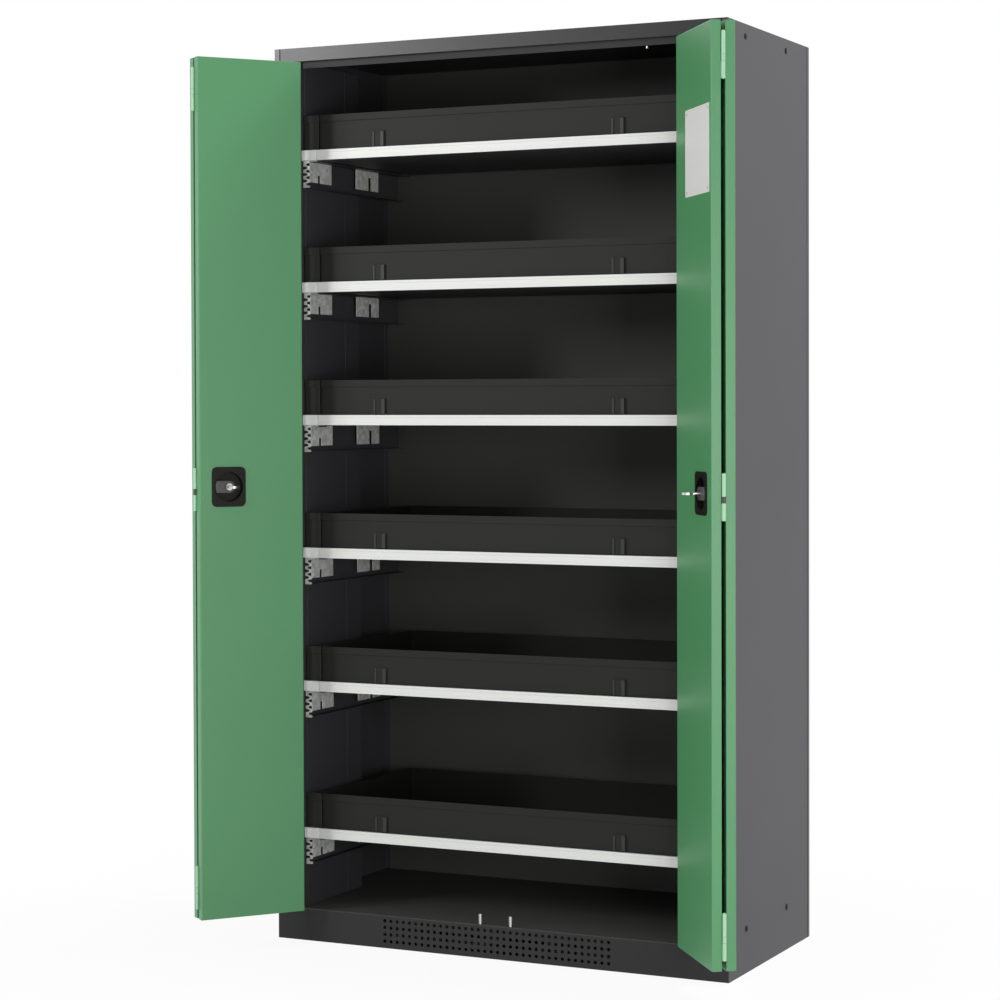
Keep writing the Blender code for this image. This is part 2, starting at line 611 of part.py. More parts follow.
def tub():
    """Black spill tub with a hem round its rim and two grip clips low on its front wall."""
    body, adds, inside = bmesh.new(), bmesh.new(), bmesh.new()
    half = TRAY_HALF - TUB_SIDE_GAP
    front, rear = TUB_FRONT, TRAY_BACK - TUB_REAR_GAP
    low, top = CARRIER_LOW + SHEET + SEAM, STRIP_HALF + TUB_ABOVE_STRIP
    add_box(body, (-half, front, low), (half, rear, top))
    upright_edges = [e for e in body.edges if abs(e.verts[0].co.z - e.verts[1].co.z) > TUB_WALL]
    round_edges(body, upright_edges, TUB_CORNER)
    proud, hem_half = TUB_HEM_PROUD, half + TUB_HEM_SIDE_PROUD
    add_box(adds, (-hem_half, front - proud, top - TUB_HEM_HEIGHT), (hem_half, rear + proud, top))
    upright_edges = [e for e in adds.edges if abs(e.verts[0].co.z - e.verts[1].co.z) > TUB_WALL]
    round_edges(adds, upright_edges, TUB_CORNER)
    clip_low = STRIP_HALF + CLIP_ABOVE_STRIP
    for side in (-1, 1):
        near = side * CLIP_FROM_CENTRE
        corner = (near - CLIP_WIDTH / 2, front - CLIP_PROUD, clip_low)
        add_box(adds, corner, (near + CLIP_WIDTH / 2, front + BITE, clip_low + CLIP_HEIGHT))
    wall = TUB_WALL
    add_box(inside, (-half + wall, front + wall, low + wall), (half - wall, rear - wall, top + OVERRUN))
    upright_edges = [e for e in inside.edges if abs(e.verts[0].co.z - e.verts[1].co.z) > TUB_WALL]
    round_edges(inside, upright_edges, TUB_CORNER - wall)
    return carved("tub", body, adds, [inside])


def leaf_pan(start, outer, side):
    """Boxes of one leaf in its joint's frame: the leaf itself, the hollow behind its skin and its back."""
    inner, end = outer + LEAF_THICKNESS, start + LEAF_WIDTH
    leaf, hollow, back = bmesh.new(), bmesh.new(), bmesh.new()
    add_box(leaf, (side * start, outer, DOOR_LOW), (side * end, inner, DOOR_HIGH))
    front_edges = [e for e in leaf.edges if all(v.co.y < (outer + inner) / 2 for v in e.verts)]
    round_edges(leaf, front_edges, LEAF_EDGE_RADIUS)
    skin, lip = LEAF_SKIN, LEAF_LIP
    add_box(
        hollow,
        (side * (start + skin), outer + skin, DOOR_LOW + skin),
        (side * (end - skin), inner - skin, DOOR_HIGH - skin),
    )
    add_box(
        back,
        (side * (start + lip), inner - skin - OVERRUN, DOOR_LOW + lip),
        (side * (end - lip), inner + OVERRUN, DOOR_HIGH - lip),
    )
    return leaf, [hollow, back]


def add_fold_barrels(adds, bore, side, arm, knuckle):
    """Joins one barrel of each fold hinge to a leaf that lies to one side of the axis."""
    web_low = -FOLD_GAP / 2 - LEAF_SKIN / 2
    for height in FOLD_HEIGHTS:
        spans = fold_spans(height)
        low, high = spans[knuckle]
        add_rod(adds, (0, 0, (low + high) / 2), FOLD_BARREL_RADIUS, high - low)
        web = (side * arm * FOLD_WEB_LENGTH, web_low, low)
        add_box(adds, web, (0, web_low + FOLD_WEB_THICKNESS + LEAF_SKIN / 2, high))
        reach = spans[-1][1] - spans[0][0] + 2 * OVERRUN
        add_rod(bore, (0, 0, height), FOLD_PIN_RADIUS + PIN_CLEARANCE, reach)


def shifted(bm, offset):
    bmesh.ops.translate(bm, verts=bm.verts, vec=offset)


def outer_leaf(side):
    """Leaf that turns on the body, in the frame of its pivot axis, shut."""
    leaf, cuts = leaf_pan(-PIVOT_FROM_END, -PIVOT_BEHIND_FACE, side)
    adds, bore, notch = bmesh.new(), bmesh.new(), bmesh.new()
    add_fold_barrels(adds, bore, side, -1, 2)
    fold = (side * (PIVOT_X - FOLD_X), FOLD_Y - PIVOT_Y, 0)
    shifted(adds, fold)
    shifted(bore, fold)
    for height in PIVOT_HEIGHTS:
        spans = knuckle_spans(height, PIVOT_KNUCKLE, PIVOT_KNUCKLE, PIVOT_KNUCKLE)
        for low, high in (spans[0], spans[2]):
            add_rod(adds, (0, 0, (low + high) / 2), PIVOT_BARREL_RADIUS, high - low)
        add_rod(notch, (0, 0, height), PIVOT_NOTCH_RADIUS, PIVOT_KNUCKLE + 2 * KNUCKLE_GAP)
        reach = spans[2][1] - spans[0][0] + 2 * OVERRUN
        add_rod(bore, (0, 0, height), PIVOT_PIN_RADIUS + PIN_CLEARANCE, reach)
    return carved("outer_leaf", leaf, adds, [*cuts[:1], notch, bore, *cuts[1:]])


def inner_leaf(side):
    """Leaf that folds on the outer leaf, in the frame of the fold axis, shut."""
    outer = -FOLD_GAP / 2 - LEAF_THICKNESS
    leaf, cuts = leaf_pan(FOLD_END_GAP, outer, side)
    adds, bore, hole = bmesh.new(), bmesh.new(), bmesh.new()
    add_fold_barrels(adds, bore, side, 1, 0)
    centre = side * (FOLD_END_GAP + LOCK_FROM_FOLD_END)
    half_width, half_height = CUP_BODY_WIDTH / 2 + SEAM, CUP_BODY_HEIGHT / 2 + SEAM
    add_box(
        hole,
        (centre - half_width, outer - OVERRUN, LOCK_HEIGHT - half_height),
        (centre + half_width, outer + LEAF_SKIN + OVERRUN, LOCK_HEIGHT + half_height),
    )
    return carved("inner_leaf", leaf, adds, [*cuts[:1], hole, bore, *cuts[1:]])


def pivot_pin():
    pin = bmesh.new()
    add_rod(pin, (0, 0, 0), PIVOT_PIN_RADIUS, 3 * PIVOT_KNUCKLE + 2 * (KNUCKLE_GAP + PIVOT_PIN_OVER))
    return carved("pivot_pin", pin)


def fold_pin():
    """Pin of a fold hinge, with the collar that keeps the two leaves' barrels apart."""
    pin, collar = bmesh.new(), bmesh.new()
    spans = fold_spans(0)
    add_rod(pin, (0, 0, 0), FOLD_PIN_RADIUS, spans[-1][1] - spans[0][0] + 2 * FOLD_PIN_OVER)
    low, high = spans[1]
    add_rod(collar, (0, 0, (low + high) / 2), FOLD_BARREL_RADIUS, high - low)
    return carved("fold_pin", pin, collar)


def lock_cup():
    """Recessed cup about the lock's axis, its flange on the leaf's face at y = 0."""
    flange, adds = bmesh.new(), bmesh.new()
    ring = rounded_rectangle(CUP_WIDTH / 2, CUP_HEIGHT / 2, CUP_CORNER)
    add_outline(flange, ring, -CUP_FLANGE, -SEAM, "Y")
    half_width, half_height = CUP_BODY_WIDTH / 2, CUP_BODY_HEIGHT / 2
    add_box(adds, (-half_width, -CUP_FLANGE + BITE, -half_height), (half_width, CUP_DEPTH, half_height))
    recess, spindle = bmesh.new(), bmesh.new()
    depth = CUP_DEPTH - CUP_FLOOR + CUP_FLANGE + OVERRUN
    middle = CUP_DEPTH - CUP_FLOOR - depth / 2
    add_rod(recess, (0, middle, 0), RECESS_RADIUS, depth, "Y", ROUND_SIDES)
    through = CUP_DEPTH + OVERRUN
    add_rod(spindle, (0, through / 2, 0), SPINDLE_RADIUS + TURN_CLEARANCE, through, "Y")
    return carved("lock_cup", flange, adds, [recess, spindle])


def turn_handle(side):
    """Grip lever in the round recess, from its hub to the fold side, with its spindle and the key's bore."""
    radius, half = RECESS_RADIUS - HANDLE_CLEARANCE, HANDLE_HEIGHT / 2
    lean = math.asin(half / radius)
    ring = arc((0, 0), half, -math.pi / 2, math.pi / 2, 2 * CORNER_STEPS)
    ring += arc((0, 0), radius, math.pi - lean, math.pi + lean, CORNER_STEPS)
    ring = [(side * x, z) for x, z in ring]
    floor = CUP_DEPTH - CUP_FLOOR
    front = -CUP_FLANGE - HANDLE_PROUD
    bar, adds, bore = bmesh.new(), bmesh.new(), bmesh.new()
    add_outline(bar, ring, front, floor - TURN_CLEARANCE, "Y")
    face_edges = [e for e in bar.edges if all(v.co.y < front + BITE for v in e.verts)]
    face_edges = [e for e in face_edges if len(e.link_faces) == 2 and e.calc_face_angle() > SMOOTH_ANGLE]
    round_edges(bar, face_edges, HANDLE_EDGE)
    add_rod(adds, (0, floor + SPINDLE_LENGTH / 2 - BITE, 0), SPINDLE_RADIUS, SPINDLE_LENGTH, "Y")
    depth = PLUG_DEPTH + OVERRUN
    add_rod(bore, (0, front - OVERRUN + depth / 2, 0), PLUG_RADIUS + TURN_CLEARANCE, depth, "Y")
    return carved("turn_handle", bar, adds, [bore])


def key():
    """Lock plug with the key in it: shank and round bow, flat and level."""
    front = -CUP_FLANGE - HANDLE_PROUD
    plug, adds, hole = bmesh.new(), bmesh.new(), bmesh.new()
    length = PLUG_DEPTH - TURN_CLEARANCE
    add_rod(plug, (0, front + length / 2, 0), PLUG_RADIUS, length, "Y")
    half, thick = KEY_SHANK_WIDTH / 2, KEY_THICKNESS / 2
    add_box(adds, (-half, front - KEY_SHANK_LENGTH, -thick), (half, front + BITE, thick))
    bow_y = front - KEY_SHANK_LENGTH - KEY_BOW_RADIUS + BITE
    add_rod(adds, (0, bow_y, 0), KEY_BOW_RADIUS, KEY_BOW_THICKNESS, "Z", ROUND_SIDES)
    hole_y = bow_y - KEY_BOW_RADIUS / 2
    add_rod(hole, (0, hole_y, 0), KEY_HOLE_RADIUS, KEY_BOW_THICKNESS + 2 * OVERRUN, "Z")
    return carved("key", plug, adds, [hole])


def make_body():
    for side, name in ((-1, "left"), (1, "right")):
        place(f"side_panel_{name}", side_panel(side), "anthracite_powder_coat")
        front_y = FRONT + FRONT_UPRIGHT_FROM_FRONT
        rear_y = BACK - REAR_UPRIGHT_FROM_BACK
        for where, y, width in (
            ("front", front_y, FRONT_UPRIGHT_WIDTH),
            ("rear", rear_y, REAR_UPRIGHT_WIDTH),
        ):
            channel = upright(side, width)
            place(f"upright_{name}_{where}", channel, "anthracite_powder_coat", location=(0, y, 0))
    place("back_panel", back_panel(), "anthracite_powder_coat")
    place("roof_panel", roof_panel(), "anthracite_powder_coat")
    place("floor_panel", floor_panel(), "anthracite_powder_coat")
    place("plinth_frame", plinth_frame(), "anthracite_powder_coat")


def make_trays():
    tracks = {"left": runner(-1), "right": runner(1)}
    front_strip, frame_sheet, spill_tub = strip(), carrier(), tub()
    for number, height in enumerate(LEVELS, 1):
        for name, track in tracks.items():
            place(f"runner_{name}_{number}", track, "galvanised_steel", location=(0, 0, height))
        slide = joint_frame(f"tray_{number}", (0, 0, height))
        place(f"tray_strip_{number}", front_strip, "white_powder_coat", slide)
        place(f"tray_carrier_{number}", frame_sheet, "anthracite_powder_coat", slide)
        place(f"tray_tub_{number}", spill_tub, "black_tub_plastic", slide)


def make_door(side, name):
    """One folding door, open. Side is the direction from its pivot to the cabinet's centre."""
    pivot = joint_frame(f"{name}_pivot", (-side * PIVOT_X, PIVOT_Y, 0), -side * OPEN_ANGLE)
    fold_place = (side * (PIVOT_X - FOLD_X), FOLD_Y - PIVOT_Y, 0)
    fold = joint_frame(f"{name}_fold", fold_place, side * FOLD_ANGLE, pivot)
    place(f"{name}_door_outer_leaf", outer_leaf(side), "green_powder_coat", pivot)
    place(f"{name}_door_inner_leaf", inner_leaf(side), "green_powder_coat", fold)
    body_pin, leaf_pin = pivot_pin(), fold_pin()
    for where, height in zip(("bottom", "top"), PIVOT_HEIGHTS):
        axis = (-side * PIVOT_X, PIVOT_Y, height)
        place(f"{name}_pivot_pin_{where}", body_pin, "nickel_plated_steel", location=axis)
    for where, height in zip(("bottom", "middle", "top"), FOLD_HEIGHTS):
        spot = (*fold_place[:2], height)
        place(f"{name}_fold_pin_{where}", leaf_pin, "nickel_plated_steel", pivot, spot)
    lock_x = side * (FOLD_END_GAP + LOCK_FROM_FOLD_END)
    lock = joint_frame(f"{name}_lock", (lock_x, -FOLD_GAP / 2 - LEAF_THICKNESS, LOCK_HEIGHT), 0, fold)
    place(f"{name}_lock_cup", lock_cup(), "black_lock_plastic", lock)
    place(f"{name}_turn_handle", turn_handle(side), "grey_handle_plastic", lock)
    place(f"{name}_key", key(), "nickel_plated_steel", lock)


for old in list(bpy.data.objects):
    bpy.data.objects.remove(old)
cabinet = bpy.data.collections.new("chemical_storage_cabinet")
bpy.context.scene.collection.children.link(cabinet)
finishes = {name: make_finish(name) for name in FINISHES}
make_body()
make_trays()
make_door(1, "left")
make_door(-1, "right")
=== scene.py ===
"""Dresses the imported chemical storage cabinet: finishes, small hardware, studio floor, lights, camera."""

import json
import math

import bmesh
import bpy
from mathutils import Matrix, Vector


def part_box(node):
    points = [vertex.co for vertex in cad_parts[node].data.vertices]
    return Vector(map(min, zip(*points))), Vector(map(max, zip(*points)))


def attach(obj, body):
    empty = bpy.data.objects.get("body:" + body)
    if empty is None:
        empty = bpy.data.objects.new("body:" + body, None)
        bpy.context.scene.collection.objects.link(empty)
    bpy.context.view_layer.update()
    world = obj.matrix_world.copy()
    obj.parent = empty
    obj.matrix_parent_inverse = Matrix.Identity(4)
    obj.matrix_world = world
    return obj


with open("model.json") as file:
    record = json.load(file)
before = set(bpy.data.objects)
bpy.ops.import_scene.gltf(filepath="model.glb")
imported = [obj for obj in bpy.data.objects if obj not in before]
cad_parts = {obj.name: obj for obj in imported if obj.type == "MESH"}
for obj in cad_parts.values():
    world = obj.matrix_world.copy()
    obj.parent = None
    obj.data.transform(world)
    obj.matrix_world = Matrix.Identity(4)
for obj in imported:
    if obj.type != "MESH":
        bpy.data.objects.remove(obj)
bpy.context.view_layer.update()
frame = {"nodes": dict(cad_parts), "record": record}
nodes = frame["nodes"]

MM = 0.001
LEVELS = range(1, 7)
SIDES = {"left": -1, "right": 1}

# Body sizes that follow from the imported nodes
BODY_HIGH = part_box("side_panel_right")[1]
HALF_WIDTH = BODY_HIGH.x
FRONT, BACK = -BODY_HIGH.y, BODY_HIGH.y
FLOOR_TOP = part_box("plinth_frame")[1].z
TRAY_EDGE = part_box("tray_strip_1")[1].x

# Height of the header over the doors
HEADER_HEIGHT = 28 * MM

# Frame of a door's inner leaf at rest: turned on the fold axis, its outer face this far in front of it
LEAF_TURN = math.radians(51.8)
LEAF_FACE = -24.75 * MM

# Faces of a door nearer to the fold axis than this are its hinge barrels, which get a painted highlight
BARREL_REACH = 4.1 * MM

# Edges under this many degrees are shaded smooth, on pieces made of blocks and on turned ones
FLAT_BELOW, ROUND_BELOW = 20, 40
TURNED_STEPS, SMALL_STEPS = 24, 16


def link(piece):
    """Adds an object to the scene."""
    bpy.context.scene.collection.objects.link(piece)
    return piece


def new_piece(name, bm, finish, body, place=None, smooth_below=FLAT_BELOW):
    """Makes a named piece from a bmesh and lets it ride on a body."""
    bmesh.ops.recalc_face_normals(bm, faces=bm.faces)
    mesh = bpy.data.meshes.new(name)
    bm.to_mesh(mesh)
    bm.free()
    mesh.materials.append(finish)
    mesh.shade_smooth()
    mesh.set_sharp_from_angle(angle=math.radians(smooth_below))
    return set_piece(name, mesh, body, place)


def set_piece(name, mesh, body, place=None):
    """Puts a mesh in the scene as a piece that rides on a body."""
    piece = link(bpy.data.objects.new(name, mesh))
    if place is not None:
        piece.matrix_world = place
    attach(piece, body)
    return piece


def add_block(bm, low, high, radius=0, steps=2):
    """Adds a block between two corners with all its edges rounded."""
    low, high = Vector(low), Vector(high)
    size = Matrix.Diagonal([*(abs(h - l) for l, h in zip(low, high)), 1])
    made = bmesh.ops.create_cube(bm, size=1, matrix=Matrix.Translation((low + high) / 2) @ size)
    if radius:
        edges = list({e for v in made["verts"] for e in v.link_edges})
        bmesh.ops.bevel(bm, geom=edges, offset=radius, segments=steps, affect="EDGES", profile=0.5)


def add_turned(bm, profile, place, steps=TURNED_STEPS):
    """Adds a body turned about local z from (radius, height) pairs, with a point where the radius is 0."""
    rings = []
    for radius, height in profile:
        if radius == 0:
            rings.append([bm.verts.new(place @ Vector((0, 0, height)))])
            continue
        angles = (2 * math.pi * k / steps for k in range(steps))
        ring = (Vector((radius * math.cos(a), radius * math.sin(a), height)) for a in angles)
        rings.append([bm.verts.new(place @ spot) for spot in ring])
    for lower, upper in zip(rings, rings[1:]):
        for k in range(steps):
            quad = [lower[k % len(lower)], lower[(k + 1) % len(lower)]]
            quad += [upper[(k + 1) % len(upper)], upper[k % len(upper)]]
            bm.faces.new(dict.fromkeys(quad))


def facing(direction, spot):
    """Placement at a spot with local z along a direction."""
    turn = Vector(direction).to_track_quat("Z", "Y").to_matrix().to_4x4()
    return Matrix.Translation(spot) @ turn


# Shader node groups


def new_group(name, inputs, outputs):
    """An empty node group with named sockets, and its input and output nodes."""
    tree = bpy.data.node_groups.new(name, "ShaderNodeTree")
    for socket, kind, value in inputs:
        made = tree.interface.new_socket(name=socket, in_out="INPUT", socket_type="NodeSocket" + kind)
        made.default_value = value
    for socket, kind in outputs:
        tree.interface.new_socket(name=socket, in_out="OUTPUT", socket_type="NodeSocket" + kind)
    return tree, tree.nodes.new("NodeGroupInput"), tree.nodes.new("NodeGroupOutput")


def math_node(tree, operation, first, second, clamp=False):
    """The result of a maths operation on two values or sockets."""
    node = tree.nodes.new("ShaderNodeMath")
    node.operation = operation
    node.use_clamp = clamp
    for socket, value in zip(node.inputs, (first, second)):
        if isinstance(value, (int, float)):
            socket.default_value = value
        else:
            tree.links.new(value, socket)
    return node.outputs[0]


def make_grain():
    """Fine surface grain as a height, and slow cloudy variation as a shade."""
    tree, given, made = new_group(
        "surface grain",
        [("Grain scale", "Float", 900.0), ("Cloud scale", "Float", 2.5)],
        [("Height", "Float"), ("Shade", "Float")],
    )
    spot = tree.nodes.new("ShaderNodeTexCoord")
    for scale, detail, output in (("Grain scale", 2, "Height"), ("Cloud scale", 4, "Shade")):
        noise = tree.nodes.new("ShaderNodeTexNoise")
        noise.inputs["Detail"].default_value = detail
        tree.links.new(spot.outputs["Object"], noise.inputs["Vector"])
        tree.links.new(given.outputs[scale], noise.inputs["Scale"])
        tree.links.new(noise.outputs["Fac"], made.inputs[output])
    return tree


def make_folded_edge():
    """Rounds the edges of folded sheet in the shading, and masks them for a painted edge highlight."""
    contrast = 3.0
    tree, given, made = new_group(
        "folded edge", [("Radius", "Float", 0.001)], [("Normal", "Vector"), ("Edge", "Float")]
    )
    bevel = tree.nodes.new("ShaderNodeBevel")
    bevel.samples = 4
    plain = tree.nodes.new("ShaderNodeNewGeometry")
    dot = tree.nodes.new("ShaderNodeVectorMath")
    dot.operation = "DOT_PRODUCT"
    tree.links.new(given.outputs["Radius"], bevel.inputs["Radius"])
    tree.links.new(bevel.outputs["Normal"], dot.inputs[0])
    tree.links.new(plain.outputs["Normal"], dot.inputs[1])
    turned = math_node(tree, "SUBTRACT", 1.0, dot.outputs["Value"])
    tree.links.new(math_node(tree, "MULTIPLY", turned, contrast, clamp=True), made.inputs["Edge"])
    tree.links.new(bevel.outputs["Normal"], made.inputs["Normal"])
    return tree


def make_spangle():
    """Crystal flowers of hot-dip zinc as a shade and a roughness."""
    smoothest, spread = 0.28, 0.25
    tree, given, made = new_group(
        "zinc spangle", [("Scale", "Float", 110.0)], [("Shade", "Float"), ("Roughness", "Float")]
    )
    spot = tree.nodes.new("ShaderNodeTexCoord")
    cells = tree.nodes.new("ShaderNodeTexVoronoi")
    tree.links.new(spot.outputs["Object"], cells.inputs["Vector"])
    tree.links.new(given.outputs["Scale"], cells.inputs["Scale"])
    split = tree.nodes.new("ShaderNodeSeparateColor")
    tree.links.new(cells.outputs["Color"], split.inputs["Color"])
    tree.links.new(split.outputs["Red"], made.inputs["Shade"])
    rougher = math_node(tree, "MULTIPLY", split.outputs["Green"], spread)
    tree.links.new(math_node(tree, "ADD", rougher, smoothest), made.inputs["Roughness"])
    return tree


GRAIN, FOLDED_EDGE, SPANGLE = make_grain(), make_folded_edge(), make_spangle()


def place_group(tree, group, **values):
    """Places a node group in a material with its own values."""
    node = tree.nodes.new("ShaderNodeGroup")
    node.node_tree = group
    for name, value in values.items():
        node.inputs[name.replace("_", " ")].default_value = value
    return node


def mix_colour(tree, factor, first, second):
    """A colour between two, either of which may be a socket."""
    node = tree.nodes.new("ShaderNodeMix")
    node.data_type = "RGBA"
    tree.links.new(factor, node.inputs["Factor"])
    for socket, value in ((node.inputs[6], first), (node.inputs[7], second)):
        if isinstance(value, tuple):
            socket.default_value = (*value, 1)
        else:
            tree.links.new(value, socket)
    return node.outputs[2]


def spread_value(tree, factor, low, high):
    """A value between two that follows a factor from 0 to 1."""
    node = tree.nodes.new("ShaderNodeMapRange")
    tree.links.new(factor, node.inputs["Value"])
    node.inputs["To Min"].default_value = low
    node.inputs["To Max"].default_value = high
    return node.outputs["Result"]


def shaded(colour, share):
    """A colour times a share."""
    return tuple(c * share for c in colour)


def new_finish(name, metallic=0.0, gloss=0.5):
    """A material with its node tree and its shader."""
    finish = bpy.data.materials.new(name)
    finish.use_nodes = True
    shader = finish.node_tree.nodes["Principled BSDF"]
    shader.inputs["Metallic"].default_value = metallic
    shader.inputs["Specular IOR Level"].default_value = gloss
    return finish, finish.node_tree, shader


def coated(name, colour, roughness, grain, depth, radius, lighter=1.25, cloud=0.06, gloss=0.5):
    """Powder coat or moulded plastic: cloudy colour, folded edges lightened as a painted highlight, fine
    grain in the surface.
    """
    uneven = 0.05
    finish, tree, shader = new_finish(name, gloss=gloss)
    surface = place_group(tree, GRAIN, Grain_scale=grain)
    edge = place_group(tree, FOLDED_EDGE, Radius=radius)
    body = mix_colour(tree, surface.outputs["Shade"], shaded(colour, 1 - cloud), shaded(colour, 1 + cloud))
    # Painted highlight: the colour is lightened on the masked folded edges
    skin = mix_colour(tree, edge.outputs["Edge"], body, shaded(colour, lighter))
    rough = spread_value(tree, surface.outputs["Shade"], roughness - uneven, roughness + uneven)
    bump = tree.nodes.new("ShaderNodeBump")
    bump.inputs["Strength"].default_value = 0.5
    bump.inputs["Distance"].default_value = depth
    tree.links.new(surface.outputs["Height"], bump.inputs["Height"])
    tree.links.new(edge.outputs["Normal"], bump.inputs["Normal"])
    tree.links.new(skin, shader.inputs["Base Color"])
    tree.links.new(rough, shader.inputs["Roughness"])
    tree.links.new(bump.outputs["Normal"], shader.inputs["Normal"])
    return finish


def galvanised(name, colour, metallic):
    """Hot-dip zinc: a darker or lighter shade in each crystal, and rounded edges."""
    darkest, lightest = shaded(colour, 0.75), shaded(colour, 1.1)
    finish, tree, shader = new_finish(name, metallic)
    spangle = place_group(tree, SPANGLE)
    edge = place_group(tree, FOLDED_EDGE, Radius=0.8 * MM)
    skin = mix_colour(tree, spangle.outputs["Shade"], darkest, lightest)
    tree.links.new(skin, shader.inputs["Base Color"])
    tree.links.new(spangle.outputs["Roughness"], shader.inputs["Roughness"])
    tree.links.new(edge.outputs["Normal"], shader.inputs["Normal"])
    return finish


def plated(name, colour, roughness):
    """Nickel plating with a fine grain and small cloudy spots."""
    darkest, uneven = shaded(colour, 0.9), 0.06
    finish, tree, shader = new_finish(name, 1.0)
    surface = place_group(tree, GRAIN, Grain_scale=2400.0, Cloud_scale=60.0)
    bump = tree.nodes.new("ShaderNodeBump")
    bump.inputs["Strength"].default_value = 0.25
    bump.inputs["Distance"].default_value = 0.05 * MM
    tree.links.new(surface.outputs["Height"], bump.inputs["Height"])
    tree.links.new(bump.outputs["Normal"], shader.inputs["Normal"])
    skin = mix_colour(tree, surface.outputs["Shade"], darkest, colour)
    tree.links.new(skin, shader.inputs["Base Color"])
    rough = spread_value(tree, surface.outputs["Shade"], roughness - uneven, roughness + uneven)
    tree.links.new(rough, shader.inputs["Roughness"])
    return finish


FINISHES = {
    "anthracite_powder_coat": coated(
        "anthracite paint", (0.046, 0.045, 0.050),
        roughness=0.45, grain=900.0, depth=0.12 * MM, radius=1.2 * MM, lighter=1.5, gloss=0.3,
    ),
    "green_powder_coat": coated(
        "green paint", (0.079, 0.272, 0.113),
        roughness=0.38, grain=700.0, depth=0.08 * MM, radius=1.4 * MM, lighter=1.35,
    ),
    "white_powder_coat": coated(
        "white paint", (0.69, 0.69, 0.67),
        roughness=0.35, grain=800.0, depth=0.05 * MM, radius=0.8 * MM, lighter=1.05, cloud=0.02,
    ),
    "galvanised_steel": galvanised("galvanised sheet", (0.80, 0.80, 0.77), metallic=0.3),
    "black_tub_plastic": coated(
        "black tub plastic", (0.015, 0.015, 0.014),
        roughness=0.50, grain=1500.0, depth=0.10 * MM, radius=1.5 * MM, lighter=2.2, gloss=0.15,
    ),
    "black_lock_plastic": coated(
        "black lock plastic", (0.012, 0.011, 0.010),
        roughness=0.42, grain=1800.0, depth=0.05 * MM, radius=0.8 * MM, lighter=2.4, gloss=0.12,
    ),
    "grey_handle_plastic": coated(
        "grey handle plastic", (0.080, 0.078, 0.080),
        roughness=0.40, grain=1800.0, depth=0.05 * MM, radius=1.0 * MM, lighter=1.5, gloss=0.25,
    ),
    "nickel_plated_steel": plated("nickel plate", (0.52, 0.51, 0.49), roughness=0.32),
}
BODY_PAINT, NICKEL = FINISHES["anthracite_powder_coat"], FINISHES["nickel_plated_steel"]

# Lit and shaded copies of the body's paint: painted shade on the plinth and under the header, a darker
# painted-shade copy with more gloss on the header front, and painted light on the inner faces
SHADE = coated(
    "shaded anthracite", (0.024, 0.024, 0.024),
    roughness=0.50, grain=900.0, depth=0.12 * MM, radius=1.2 * MM, lighter=1.6, gloss=0.2,
)
# Painted shade: a darker copy of the body's paint for the header front
HEADER_PAINTED_SHADE = coated(
    "header anthracite painted shade", (0.018, 0.018, 0.020),
    roughness=0.30, grain=900.0, depth=0.05 * MM, radius=1.2 * MM, lighter=1.5, gloss=0.34,
)
# Painted light: a lighter copy of the body's paint for the inner faces of floor and back
INSIDE_PAINTED_LIGHT = coated(
    "inner anthracite painted light", (0.068, 0.067, 0.064),
    roughness=0.55, grain=900.0, depth=0.12 * MM, radius=1.2 * MM, lighter=1.3, gloss=0.3,
)

# Trim and small parts in a copy of the body's paint, darker than it as painted shade but lighter than the
# plinth's and header's painted shade, with edges finer than their thin walls
SHADED_TRIM = coated(
    "shaded trim paint", (0.030, 0.030, 0.032),
    roughness=0.30, grain=900.0, depth=0.05 * MM, radius=0.3 * MM, lighter=1.5, gloss=0.4,
)
COLLAR = coated(
    "collar paint", (0.075, 0.070, 0.058),
    roughness=0.45, grain=900.0, depth=0.05 * MM, radius=0.5 * MM, lighter=1.3, gloss=0.3,
)
# Painted highlight: a lighter copy of the doors' green for the hinge barrels
BARREL_HIGHLIGHT = coated(
    "barrel paint with painted highlight", (0.36, 0.60, 0.40),
    roughness=0.32, grain=700.0, depth=0.04 * MM, radius=0.5 * MM, lighter=1.1,
)
LABEL_BOARD = coated(
    "label board", (0.70, 0.70, 0.68),
    roughness=0.50, grain=600.0, depth=0.02 * MM, radius=0.4 * MM, lighter=1.02, cloud=0.02,
)
# Black plastic of the side plugs, also used for the painted shadow in the header's seam gaps
PLUG_AND_SEAM_SHADOW = coated(
    "plug plastic and seam shadow", (0.005, 0.005, 0.005),
    roughness=0.50, grain=1500.0, depth=0.05 * MM, radius=0.6 * MM, lighter=1.6, gloss=0.1,
)
# Painted highlight: a paler copy of the tub plastic for the clips' ribs
CLIP_HIGHLIGHT = coated(
    "clip plastic painted highlight", (0.034, 0.034, 0.032),
    roughness=0.40, grain=1500.0, depth=0.05 * MM, radius=0.6 * MM, lighter=1.6, gloss=0.2,
)
# Painted light: the white end caps lighter than the white strips, against the door leaves' shadow
END_CAP_PAINTED_LIGHT = coated(
    "end cap plastic painted light", (0.90, 0.90, 0.88),
    roughness=0.40, grain=800.0, depth=0.05 * MM, radius=0.6 * MM, lighter=1.02, cloud=0.02,
)
# Painted light: the tub guards lighter than the black tubs, against the door leaves' shadow
GUARD_PAINTED_LIGHT = coated(
    "guard plastic painted light", (0.031, 0.031, 0.029),
    roughness=0.50, grain=1500.0, depth=0.10 * MM, radius=1.5 * MM, lighter=1.6, gloss=0.15,
)

slot_of = {part["node"]: part["material_slot"] for part in frame["record"]["subparts"]}
for name, node in nodes.items():
    node.material_slots[0].material = FINISHES[slot_of[name]]


